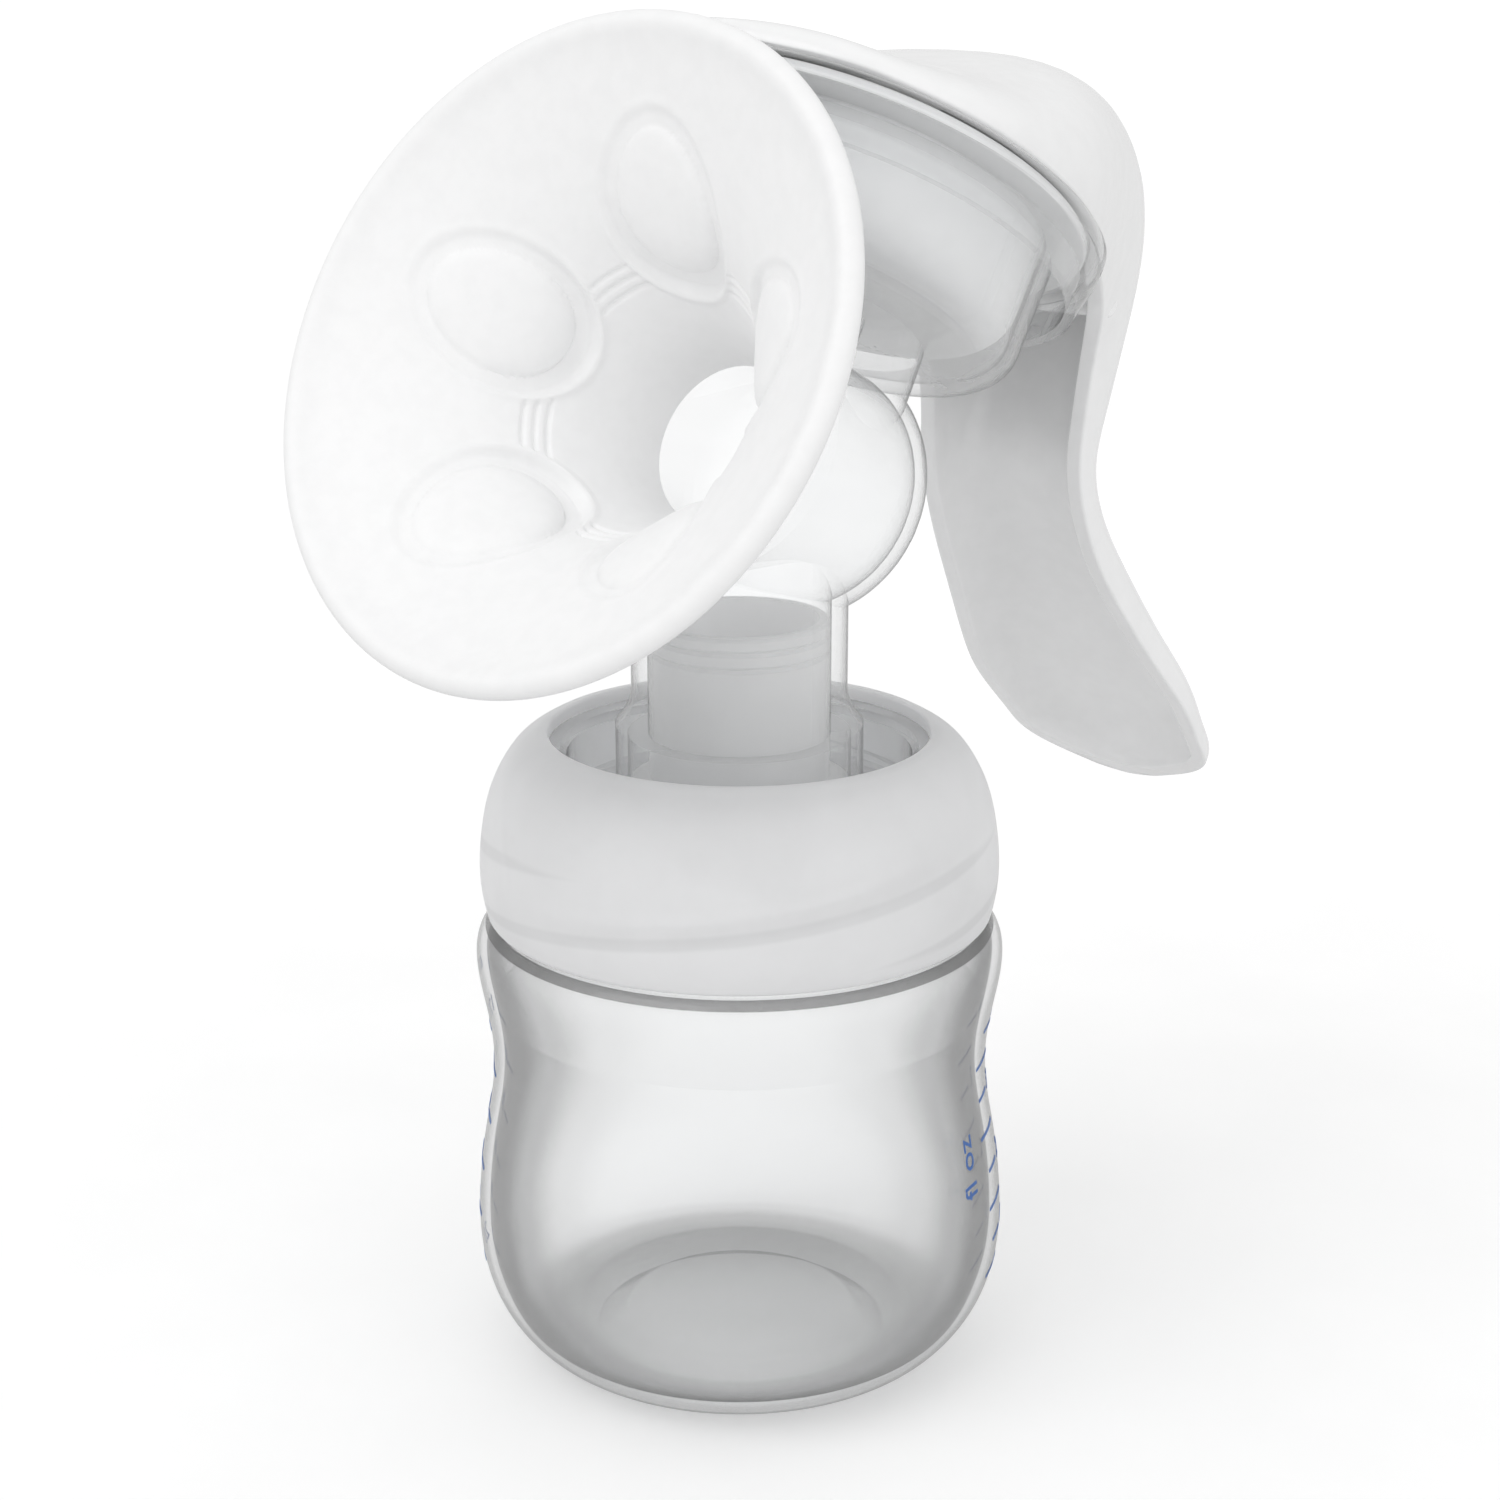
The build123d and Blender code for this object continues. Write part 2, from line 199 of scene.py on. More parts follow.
def grid_faces(rows, columns, wrap_rows=True, wrap_columns=True):
    """Quads of a grid of rows by columns, its ends joined where asked."""
    faces = []
    for i in range(rows if wrap_rows else rows - 1):
        for j in range(columns if wrap_columns else columns - 1):
            i2 = (i + 1) % rows
            j2 = (j + 1) % columns
            faces.append((i * columns + j, i2 * columns + j, i2 * columns + j2, i * columns + j2))
    return faces


def lathe(name, outline, segments=192, place=UPRIGHT, wave=None, sharp=32, inner_from=None):
    """A closed outline of radius and height turned about local Z. wave(r, z, angle) moves the points.
    Faces from outline point inner_from onwards take the second material slot."""
    r, z = np.array(outline, float).T
    angle = np.arange(segments) * FULL_TURN / segments
    radius = np.repeat(r[None, :], segments, 0)
    height = np.repeat(z[None, :], segments, 0)
    turn = np.repeat(angle[:, None], len(r), 1)
    if wave is not None:
        radius, height = wave(radius, height, turn)
    verts = np.stack([radius * np.cos(turn), radius * np.sin(turn), height], -1).reshape(-1, 3)
    slots = None
    if inner_from is not None:
        slots = [int(j >= inner_from) for i in range(segments) for j in range(len(r))]
    return mesh_piece(name, verts.tolist(), grid_faces(segments, len(r)), place, sharp, slots)


def ridge(root_r, crest_r, foot_z, turn):
    """One start of a screw thread with run-outs at its ends."""
    steps = 84
    fade_steps = 7
    verts = []
    for k in range(steps + 1):
        angle = math.radians(turn) + FULL_TURN * THREAD_TURNS * k / steps
        z = foot_z + LEAD * THREAD_TURNS * k / steps
        height = min(1.0, (k + 1) / fade_steps, (steps + 1 - k) / fade_steps)
        crest = root_r + (crest_r - root_r) * height
        for r, dz in ((root_r, -1.1), (crest, -0.6), (crest, 0.6), (root_r, 1.1)):
            verts.append((r * math.cos(angle), r * math.sin(angle), z + dz))
    faces = grid_faces(steps + 1, 4, wrap_rows=False)
    faces += [(3, 2, 1, 0), tuple(4 * steps + j for j in range(4))]
    return mesh_piece("ridge", verts, faces)


def smoothstep(x):
    t = np.clip(x, 0, 1)
    return t * t * (3 - 2 * t)


# ---- materials ----
def new_material(name):
    """An empty material and functions that add nodes and wires to it."""
    mat = bpy.data.materials.new(name)
    mat.use_nodes = True
    tree = mat.node_tree
    tree.nodes.clear()

    def node(kind, **values):
        made = tree.nodes.new(kind)
        for key, value in values.items():
            if key in made.inputs:
                made.inputs[key].default_value = value
            else:
                setattr(made, key, value)
        return made

    def wire(source, target):
        tree.links.new(source, target)

    return mat, node, wire


def ramp(node, stops, interpolation="EASE"):
    """A colour ramp with the given (place, grey or colour) stops."""
    made = node("ShaderNodeValToRGB")
    ramp_data = made.color_ramp
    ramp_data.interpolation = interpolation
    while len(ramp_data.elements) < len(stops):
        ramp_data.elements.new(0.5)
    for element, (place, value) in zip(ramp_data.elements, stops):
        element.position = place
        colour = value if isinstance(value, tuple) else (value, value, value)
        element.color = (*colour, 1)
    return made


def moulded_bump(node, wire, scale, strength, distance=0.0002):
    """Fine unevenness of a moulded surface."""
    place = node("ShaderNodeTexCoord")
    noise = node("ShaderNodeTexNoise", Scale=scale, Detail=4.0, Roughness=0.55)
    bump = node("ShaderNodeBump", Strength=strength, Distance=distance)
    wire(place.outputs["Object"], noise.inputs["Vector"])
    wire(noise.outputs["Fac"], bump.inputs["Height"])
    return noise, bump


def clear_plastic(name, cover_stops, edge_shade_stops, roughness=0.06):
    """See-through moulded plastic.

    The stops give how much it covers and its grey from face on to edge on; the grey darkens towards the
    edges as painted shade in place of refraction."""
    mat, node, wire = new_material(name)
    noise, bump = moulded_bump(node, wire, 55, 0.03)
    weight = node("ShaderNodeLayerWeight", Blend=0.5)
    cover = ramp(node, cover_stops)
    # Painted shade: the base colour greys towards grazing edges, standing in for refraction.
    tone = ramp(node, edge_shade_stops)
    haze = ramp(node, [(0.35, 0.94), (0.65, 1.0)])
    haze_and_edge_shade = node("ShaderNodeMix", data_type="RGBA", blend_type="MULTIPLY")
    haze_and_edge_shade.inputs["Factor"].default_value = 1.0
    skin = node("ShaderNodeBsdfPrincipled", Roughness=roughness, IOR=1.5)
    through_it = node("ShaderNodeBsdfTransparent", Color=(0.992, 0.994, 0.995, 1))
    mix = node("ShaderNodeMixShader")
    out = node("ShaderNodeOutputMaterial")
    wire(weight.outputs["Facing"], cover.inputs["Fac"])
    wire(weight.outputs["Facing"], tone.inputs["Fac"])
    wire(noise.outputs["Fac"], haze.inputs["Fac"])
    wire(tone.outputs["Color"], haze_and_edge_shade.inputs["A"])
    wire(haze.outputs["Color"], haze_and_edge_shade.inputs["B"])
    wire(haze_and_edge_shade.outputs["Result"], skin.inputs["Base Color"])
    wire(bump.outputs["Normal"], skin.inputs["Normal"])
    wire(cover.outputs["Color"], mix.inputs["Fac"])
    wire(through_it.outputs["BSDF"], mix.inputs[1])
    wire(skin.outputs["BSDF"], mix.inputs[2])
    wire(mix.outputs["Shader"], out.inputs["Surface"])
    return mat


# Grey of the painted shade bands that stand for the collar's thread ridges seen through its cloudy wall.
THREAD_SHADE_GREY = 0.88


def thread_shade(node, wire):
    """Painted soft grey shade in bands where the collar's own thread ridges stand behind its cloudy wall.
    """
    pitch = LEAD / THREAD_STARTS
    half = THREAD_H / 2 / pitch
    place = node("ShaderNodeTexCoord")
    parts = node("ShaderNodeSeparateXYZ")
    turn = node("ShaderNodeMath", operation="ARCTAN2")
    turns = node("ShaderNodeMath", operation="MULTIPLY")
    turns.inputs[1].default_value = THREAD_STARTS / FULL_TURN
    above = node("ShaderNodeMath", operation="SUBTRACT")
    above.inputs[1].default_value = COLLAR_THREAD_Z * MM
    rise = node("ShaderNodeMath", operation="MULTIPLY_ADD")
    rise.inputs[1].default_value = 1 / (pitch * MM)
    rise.inputs[2].default_value = 0.5
    phase = node("ShaderNodeMath", operation="SUBTRACT")
    fraction = node("ShaderNodeMath", operation="FRACT")
    crest = half * 0.4
    bands = ramp(node, [
        (0.5 - half, 1.0), (0.5 - crest, THREAD_SHADE_GREY), (0.5 + crest, THREAD_SHADE_GREY), (0.5 + half, 1.0),
    ])
    zone = node("ShaderNodeMapRange")
    zone.inputs["From Min"].default_value = -THREAD_H / 2 * MM
    zone.inputs["From Max"].default_value = (LEAD * THREAD_TURNS + THREAD_H / 2) * MM
    fade = ramp(node, [(0.0, 0.0), (0.1, 1.0), (0.9, 1.0), (1.0, 0.0)])
    shade = node("ShaderNodeMix", data_type="RGBA")
    shade.inputs["A"].default_value = (1, 1, 1, 1)
    wire(place.outputs["Object"], parts.inputs["Vector"])
    wire(parts.outputs["Y"], turn.inputs[0])
    wire(parts.outputs["X"], turn.inputs[1])
    wire(turn.outputs["Value"], turns.inputs[0])
    wire(parts.outputs["Z"], above.inputs[0])
    wire(above.outputs["Value"], rise.inputs[0])
    wire(rise.outputs["Value"], phase.inputs[0])
    wire(turns.outputs["Value"], phase.inputs[1])
    wire(phase.outputs["Value"], fraction.inputs[0])
    wire(fraction.outputs["Value"], bands.inputs["Fac"])
    wire(above.outputs["Value"], zone.inputs["Value"])
    wire(zone.outputs["Result"], fade.inputs["Fac"])
    wire(fade.outputs["Color"], shade.inputs["Factor"])
    wire(bands.outputs["Color"], shade.inputs["B"])
    return shade


def milky_plastic(name, colour, solid_face, solid_edge, roughness=0.32, grain=140, glow_share=0.15,
                  with_thread_shade=False):
    """Cloudy plastic or silicone: light passes, shapes behind show as soft greys; with_thread_shade adds
    painted shade bands for the thread ridges.
    """
    mat, node, wire = new_material(name)
    noise, bump = moulded_bump(node, wire, grain, 0.05)
    weight = node("ShaderNodeLayerWeight", Blend=0.5)
    cover = ramp(node, [(0.0, solid_face), (0.6, solid_face * 1.05), (0.95, solid_edge)])
    light = tuple(min(1.0, c * 1.01) for c in colour)
    dark = tuple(c * 0.98 for c in colour)
    tone = ramp(node, [(0.3, dark), (0.7, light)])
    skin = node("ShaderNodeBsdfPrincipled", Roughness=roughness, IOR=1.46)
    glow = node("ShaderNodeBsdfTranslucent", Color=(*light, 1))
    body = node("ShaderNodeMixShader", Fac=glow_share)
    through_it = node("ShaderNodeBsdfTransparent", Color=(0.97, 0.97, 0.98, 1))
    mix = node("ShaderNodeMixShader")
    out = node("ShaderNodeOutputMaterial")
    wire(weight.outputs["Facing"], cover.inputs["Fac"])
    wire(noise.outputs["Fac"], tone.inputs["Fac"])
    # Painted shade: the thread bands darken the base colour.
    if with_thread_shade:
        shaded = node("ShaderNodeMix", data_type="RGBA", blend_type="MULTIPLY")
        shaded.inputs["Factor"].default_value = 1.0
        wire(tone.outputs["Color"], shaded.inputs["A"])
        wire(thread_shade(node, wire).outputs["Result"], shaded.inputs["B"])
        wire(shaded.outputs["Result"], skin.inputs["Base Color"])
    else:
        wire(tone.outputs["Color"], skin.inputs["Base Color"])
    wire(bump.outputs["Normal"], skin.inputs["Normal"])
    wire(skin.outputs["BSDF"], body.inputs[1])
    wire(glow.outputs["BSDF"], body.inputs[2])
    wire(cover.outputs["Color"], mix.inputs["Fac"])
    wire(through_it.outputs["BSDF"], mix.inputs[1])
    wire(body.outputs["Shader"], mix.inputs[2])
    wire(mix.outputs["Shader"], out.inputs["Surface"])
    return mat


def solid_plastic(name, colour, roughness, grain, bump_strength, subsurface=0.0, coat=0.0, sheen=0.0):
    """Opaque moulded plastic or silicone with faint mottling and grain."""
    mat, node, wire = new_material(name)
    noise, bump = moulded_bump(node, wire, grain, bump_strength)
    light = tuple(min(1.0, c * 1.008) for c in colour)
    dark = tuple(c * 0.985 for c in colour)
    tone = ramp(node, [(0.3, dark), (0.7, light)])
    rough = node("ShaderNodeMapRange")
    rough.inputs["To Min"].default_value = roughness * 0.85
    rough.inputs["To Max"].default_value = roughness * 1.15
    skin = node("ShaderNodeBsdfPrincipled", IOR=1.46)
    skin.inputs["Subsurface Weight"].default_value = subsurface
    skin.inputs["Subsurface Radius"].default_value = (0.004, 0.004, 0.004)
    skin.inputs["Subsurface Scale"].default_value = 1.0
    skin.inputs["Coat Weight"].default_value = coat
    skin.inputs["Coat Roughness"].default_value = 0.08
    skin.inputs["Sheen Weight"].default_value = sheen
    out = node("ShaderNodeOutputMaterial")
    wire(noise.outputs["Fac"], tone.inputs["Fac"])
    wire(noise.outputs["Fac"], rough.inputs["Value"])
    wire(tone.outputs["Color"], skin.inputs["Base Color"])
    wire(rough.outputs["Result"], skin.inputs["Roughness"])
    wire(bump.outputs["Normal"], skin.inputs["Normal"])
    wire(skin.outputs["BSDF"], out.inputs["Surface"])
    return mat


# The tone stops of these clear plastics paint shade at the edges in place of refraction; the inner bottle
# surface paints its dark inner outline.
BOTTLE_OUT = clear_plastic(
    "clear_bottle_outer",
    [(0.0, 0.02), (0.5, 0.06), (0.75, 0.3), (0.9, 0.75), (1.0, 0.97)],
    [(0.0, 0.95), (0.5, 0.8), (0.75, 0.6), (0.9, 0.45), (1.0, 0.16)],
)
BOTTLE_IN = clear_plastic(
    "clear_bottle_inner",
    [(0.0, 0.03), (0.14, 0.05), (0.3, 0.14), (0.5, 0.38), (0.7, 0.68), (0.9, 0.96)],
    [(0.0, 0.95), (0.14, 0.7), (0.3, 0.42), (0.5, 0.28), (0.8, 0.16), (1.0, 0.03)],
)
# Painted reflection: a greyer, more covering band on the inner shoulder stands for a reflected grey band.
BOTTLE_SHOULDER_PAINTED_REFLECTION = clear_plastic(
    "clear_bottle_shoulder_painted_reflection",
    [(0.0, 0.1), (0.3, 0.14), (0.5, 0.3), (0.75, 0.7), (0.9, 0.95)],
    [(0.0, 0.62), (0.3, 0.5), (0.5, 0.36), (0.8, 0.2), (1.0, 0.05)],
)
# Painted shade: a dark strip on the outer shoulder stands for the shadow in the gap under the collar.
BOTTLE_GAP_PAINTED_SHADE = clear_plastic(
    "clear_bottle_gap_painted_shade",
    [(0.0, 0.68), (0.6, 0.78), (1.0, 0.97)],
    [(0.0, 0.14), (0.6, 0.1), (1.0, 0.04)],
)
BODY_CLEAR = clear_plastic(
    "clear_body_plastic",
    [(0.0, 0.03), (0.35, 0.08), (0.6, 0.24), (0.78, 0.5), (0.9, 0.88), (1.0, 0.98)],
    [(0.0, 0.98), (0.5, 0.9), (0.72, 0.72), (0.86, 0.34), (1.0, 0.04)],
)
# The collar's material carries the painted thread shade bands.
COLLAR_MILKY = milky_plastic(
    "frosted_collar_plastic", (0.98, 0.981, 0.984), 0.78, 0.95, glow_share=0.3, with_thread_shade=True)
VALVE_MILKY = milky_plastic(
    "valve_silicone_milky", (0.97, 0.97, 0.968), 0.72, 0.94, roughness=0.45, glow_share=0.3)
CUSHION_SOFT = solid_plastic(
    "cushion_silicone_white", (0.94, 0.941, 0.943), 0.5, 420, 0.04, subsurface=0.05, sheen=0.05)
DIAPHRAGM_SOFT = solid_plastic(
    "diaphragm_silicone_white", (0.94, 0.942, 0.945), 0.45, 420, 0.04, subsurface=0.1)
STEM_WHITE = solid_plastic("stem_plastic_white", (0.92, 0.92, 0.922), 0.35, 300, 0.03)
HANDLE_WHITE = solid_plastic("handle_plastic_white", (0.94, 0.941, 0.943), 0.22, 300, 0.02, coat=0.3)
PRINT_BLUE = solid_plastic("scale_print_blue", (0.035, 0.13, 0.42), 0.4, 900, 0.04)


def finish_piece(piece, body, slot, *materials):
    """Materials and carrying body of a visual piece; the slot argument is not used."""
    for mat in materials:
        piece.data.materials.append(mat)
    if body:
        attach(piece, body)
    return piece


def dress(node_name, *materials):
    """New materials on a CAD node that stays shown."""
    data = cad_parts[node_name].data
    data.materials.clear()
    for mat in materials:
        data.materials.append(mat)


# ---- bottle ----
DISC_AZIMUTH = math.radians(39 - 90)
DISC_Z = 25.0
DISC_OUT = 19.0
DISC_IN = 15.5
DISC_PROUD = 0.3
# Heights of the painted reflection band on the inner shoulder.
REFLECTION_BAND_Z = 46.5
REFLECTION_BAND_TOP = 57.5
# Height and least radius of the painted gap shadow strip.
GAP_SHADE_Z = (56.6, 58.2)
GAP_SHADE_R = 29.0


def side_radius(z):
    """Outer radius of the bottle's side at a height."""
    fine = np.array(through(SIDE, 200))
    return float(np.interp(z, fine[:, 1], fine[:, 0]))


def bottle_piece():
    outer = through(SIDE, 90)
    neck = rounded([SIDE[-1], (26.8, 58.4, 0.5), (26.8, 77.0, 0.5), (25.0, 77.0, 0.5), (25.0, 58.4)])[1:]
    inner = through([(27.6, 56.8)] + [(r - WALL, z) for r, z in SIDE[-2:1:-1]] + [(20.6, 2.9)], 84)
    foot = rounded([(0, 2.6), (14.6, 2.6, 1.5), (18.6, 0.0, 0.7), SIDE[0]])[1:-1]
    outline = [(0, 2.6)] + foot + outer + neck
    inner_from = len(outline) - 1
    outline += inner + [(15.6, 3.9), (0, 3.9)]

    def wave(r, z, angle):
        across = (np.mod(angle - DISC_AZIMUTH + math.pi, FULL_TURN) - math.pi) * 33
        away = np.hypot(across, z - DISC_Z)
        lift = DISC_PROUD * smoothstep((DISC_OUT - away) / (DISC_OUT - DISC_IN))
        outside = np.zeros(len(outline))
        outside[len(foot) + 1:len(foot) + 1 + len(outer)] = 1
        return r + lift * outside[None, :], z

    body = lathe("bottle_body", outline, 256, wave=wave, inner_from=inner_from)
    for face in body.data.polygons:
        height = face.center.z / MM
        reach = math.hypot(face.center.x, face.center.y) / MM
        # Inner faces on the shoulder take the painted reflection band.
        if face.material_index == 1 and REFLECTION_BAND_Z < height < REFLECTION_BAND_TOP:
            face.material_index = 2
        # Outer faces just under the collar take the painted gap shadow.
        if face.material_index == 0 and GAP_SHADE_Z[0] < height < GAP_SHADE_Z[1] and reach > GAP_SHADE_R:
            face.material_index = 3
    ridges = [ridge(26.5, 28.5, BOTTLE_THREAD_Z, k * 120) for k in range(THREAD_STARTS)]
    return joined("bottle_clear", [body] + ridges)


bottle = finish_piece(
    bottle_piece(), "bottle", "clear_bottle", BOTTLE_OUT, BOTTLE_IN, BOTTLE_SHOULDER_PAINTED_REFLECTION, BOTTLE_GAP_PAINTED_SHADE)
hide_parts("bottle")

# ---- printed volume scales ----
PRINT_LIFT = 0.03
PRINT_T = 0.05
OZ_STEP = 9.3
ML_STEP = 6.3
SCALE_FOOT_Z = 12.2
OZ_AZIMUTH = 115
ML_AZIMUTH = -43


def wrapped(name, verts, faces, azimuth, z0):
    """A thin flat print wrapped round the bottle at an azimuth and height."""
    bent = []
    for u, v, w in verts:
        z = z0 + v
        radius = side_radius(z) + PRINT_LIFT + w
        angle = math.radians(azimuth - 90) + u / radius
        bent.append((radius * math.cos(angle), radius * math.sin(angle), z))
    return mesh_piece(name, bent, faces)


def tick(azimuth, z0, length, thickness):
    """A graduation line, its length running round the bottle."""
    steps = 10
    verts = []
    for k in range(steps + 1):
        u = length * (k / steps - 0.5)
        for v, w in ((-0.5, 0), (-0.5, 1), (0.5, 1), (0.5, 0)):
            verts.append((u, v * thickness, w * PRINT_T))
    faces = grid_faces(steps + 1, 4, wrap_rows=False)
    faces += [(3, 2, 1, 0), tuple(4 * steps + j for j in range(4))]
    return wrapped("tick", verts, faces, azimuth, z0)


def numeral(text, azimuth, z0, size, upright=True):
    """Characters of a scale, upright or reading up the bottle."""
    curve = bpy.data.curves.new("numeral", "FONT")
    curve.body = text
    curve.size = size * 1.35
    curve.extrude = PRINT_T / 2
    curve.align_x = "CENTER"
    curve.align_y = "CENTER"
    curve.resolution_u = 4
    holder = bpy.data.objects.new("numeral", curve)
    bpy.context.scene.collection.objects.link(holder)
    bpy.context.view_layer.update()
    flat = bpy.data.meshes.new_from_object(holder.evaluated_get(bpy.context.evaluated_depsgraph_get()))
    bpy.data.objects.remove(holder)
    verts = [tuple(v.co) for v in flat.vertices]
    if not upright:
        verts = [(-y, x, w) for x, y, w in verts]
    verts = [(x, y, w + PRINT_T / 2) for x, y, w in verts]
    faces = [tuple(p.vertices) for p in flat.polygons]
    return wrapped("numeral", verts, faces, azimuth, z0)


def scale_print():
    marks = []
    for k in range(8):
        z = SCALE_FOOT_Z + k * OZ_STEP / 2
        marks.append(tick(OZ_AZIMUTH, z, 4.5 if k % 2 else 7.0, 0.45))
        if k % 2 == 1:
            marks.append(numeral(str(k // 2 + 1), OZ_AZIMUTH + 9, z, 2.8))
    marks.append(numeral("fl oz", OZ_AZIMUTH - 15, SCALE_FOOT_Z + 17, 3.4, upright=False))
    for k in range(6):
        z = SCALE_FOOT_Z + k * ML_STEP
        marks.append(tick(ML_AZIMUTH, z, 4.0, 0.45))
        marks.append(numeral(str(20 * (k + 1)), ML_AZIMUTH - 9, z, 2.4))
    marks.append(numeral("ml", ML_AZIMUTH - 8, SCALE_FOOT_Z + 6 * ML_STEP, 2.4))
    return joined("volume_scale_print", marks)


finish_piece(scale_print(), "bottle", "clear_bottle", PRINT_BLUE)


# ---- collar ----
def collar_piece():
    side = through(COLLAR_SIDE, 44)
    hole = rounded([(24.6, 80.8), (23.35, 80.9, 0.35), (23.35, 79.1, 0.35), (26.4, 79.1)])[1:]
    under = through([(26.4, 79.1), (27.5, 78.2), (28.6, 76.2), (29.0, 73.6)], 14)[1:]
    foot = rounded([(29.0, 73.6), (29.0, 58.1, 0.4), (31.3, 58.1, 0.4), COLLAR_SIDE[1]])[1:-1]
    body = lathe("collar_body", side[1:] + hole + under + foot, 224)
    ridges = [ridge(29.3, 27.3, COLLAR_THREAD_Z, k * 120) for k in range(THREAD_STARTS)]
    return joined("collar_ring", [body] + ridges)


collar = finish_piece(collar_piece(), "collar", "frosted_collar", COLLAR_MILKY)
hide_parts("screw_collar")

# ---- massage cushion ----
PETAL_IN = (6.5, 9.2)
PETAL_OUT = (8.7, 12.0)
ARC_RADII = (15.3, 16.1, 16.9)
ARC_WIDTH = 0.16
ARC_DEPTH = 0.4


def petal_places(x, y, z):
    """For each petal, the point's place across and along it, in millimetres."""
    lean = math.sqrt(0.5)
    for k in range(PETALS):
        turn = -FULL_TURN * k / PETALS
        across = x * math.cos(turn) - y * math.sin(turn)
        out = x * math.sin(turn) + y * math.cos(turn)
        yield across, (out - PETAL_R) * lean + (z + PETAL_DEPTH) * lean, out


def cushion_lift(x, y, z, r):
    """Height of the petals, the dishes round them and the arcs between them."""
    lift = np.zeros_like(r)
    near = np.full_like(r, 9.0)
    for across, along, out in petal_places(x, y, z):
        front = out > 0
        outer = np.hypot(across / PETAL_OUT[0], (along + 0.3) / PETAL_OUT[1])
        inner = np.hypot(across / PETAL_IN[0], along / PETAL_IN[1])
        to_throat = smoothstep((3 - along) / 14)
        dish = -(0.35 + 0.85 * to_throat) * smoothstep((1.0 - outer) / 0.1)
        lip = 0.3 * np.exp(-((outer - 1.02) / 0.04) ** 2) * (0.3 + 0.7 * to_throat)
        dome = (1.25 + 1.35 * to_throat) * np.clip(1 - inner ** 2.2, 0, 1) ** 0.5
        lift = lift + np.where(front, dish + lip + dome, 0)
        near = np.minimum(near, np.where(front, outer, 9.0))
    arcs = sum(np.exp(-((r - at) / ARC_WIDTH) ** 2) for at in ARC_RADII)
    return lift - ARC_DEPTH * arcs * smoothstep((near - 1.03) / 0.06)


def cushion_piece():
    segments = 384
    face = np.array(LIP + TRUMPET)
    t = chord(face)
    join = t[len(LIP)]
    throat_at = t[np.argmin(np.abs(face[:, 0] - 17.4))]
    places = np.concatenate([
        np.linspace(0, join, 26)[:-1],
        np.linspace(join, throat_at - 3, 78)[:-1],
        np.linspace(throat_at - 3, throat_at + 6, 76)[:-1],
        np.linspace(throat_at + 6, t[-1], 34),
    ])
    front = spline_at(t, face, places)
    step = np.gradient(front, axis=0)
    step /= np.linalg.norm(step, axis=1)[:, None]
    normal = np.stack([-step[:, 1], step[:, 0]], 1)
    coarse = slice(None, None, 4)
    on_face = places >= join
    back = (front - CUSHION_T * normal)[on_face][coarse][::-1]
    back = back[back[:, 0] < 36.2]
    outline = np.concatenate([front, back, [[36.7, -0.6], [36.7, 2.0], [36.95, 2.3]]])
    normals = np.concatenate([normal, np.zeros((len(outline) - len(front), 2))])
    active = np.concatenate([smoothstep((places - join - 1.0) / 2.0), np.zeros(len(outline) - len(front))])
    angle = np.arange(segments) * FULL_TURN / segments
    r = np.repeat(outline[None, :, 0], segments, 0)
    depth = np.repeat(outline[None, :, 1], segments, 0)
    turn = np.repeat(angle[:, None], len(outline), 1)
    lift = cushion_lift(r * np.cos(turn), r * np.sin(turn), -depth, r) * active[None, :]
    r = r + normals[None, :, 0] * lift
    depth = depth + normals[None, :, 1] * lift
    verts = np.stack([r * np.cos(turn), r * np.sin(turn), -depth], -1).reshape(-1, 3)
    return mesh_piece("cushion_petal", verts.tolist(), grid_faces(segments, len(outline)), FUNNEL, 50)


cushion = finish_piece(cushion_piece(), "cushion", "cushion_silicone", CUSHION_SOFT)
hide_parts("massage_cushion")


# ---- diaphragm ----
def diaphragm_piece():
    outline = rounded([
        (0, -14.4), (24.7, -14.4, 5.0), (25.15, -1.25, 0.2), (30.4, -1.25, 0.3), (30.4, 0.1, 0.5),
        (23.9, 0.1, 0.4),
        (23.4, -13.1, 3.7), (0, -13.1),
    ], steps=9)
    fine = []
    for (r0, z0), (r1, z1) in zip(outline, outline[1:]):
        count = max(1, int(math.hypot(r1 - r0, z1 - z0) / 0.9))
        fine += [(r0 + (r1 - r0) * k / count, z0 + (z1 - z0) * k / count) for k in range(count)]
    return lathe("diaphragm_cup", fine + [outline[-1]], 192, place=CUP)


diaphragm = finish_piece(diaphragm_piece(), None, "diaphragm_silicone", DIAPHRAGM_SOFT)
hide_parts("diaphragm")
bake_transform(diaphragm)

# ---- handle ----
SECTION_POWER = 0.8
RIM_BAND = 2.4
RIM_ROUND = 0.45
ARCH_STEPS = 30
TIP_REACH = 0.9


def handle_stations():
    """Place, outward direction, half width and depth of closely spaced sections, with rounded-off ends."""
    table = np.array(HANDLE, float)
    t = chord(table[:, :2])
    inside = t[-1] * (1 - np.cos(np.linspace(0, math.pi, 230))) / 2
    rows = spline_at(t, table, inside)
    shrink = np.array([0.35, 0.65, 0.85, 0.95, 0.99, 1.0])
    ends = []
    for k in (0, -1):
        towards = (rows[k] - rows[k - 1 if k else 1])[:2]
        towards /= np.linalg.norm(towards)
        extra = []
        for share in shrink:
            row = rows[k].copy()
            row[:2] += towards * TIP_REACH * share
            row[3:] *= (1 - share) ** 0.55
            extra.append(row)
        ends.append(extra)
    return np.array(ends[0][::-1] + list(rows) + ends[1])


def eroded(s, values, margin):
    """Half size left after taking a margin off all round."""
    left = np.full(len(s), 1e9)
    for ds in np.linspace(-margin, margin, 25):
        moved = np.interp(s + ds, s, values, left=0, right=0)
        left = np.minimum(left, moved - math.sqrt(max(margin ** 2 - ds ** 2, 0)))
    return np.maximum(left, 0)


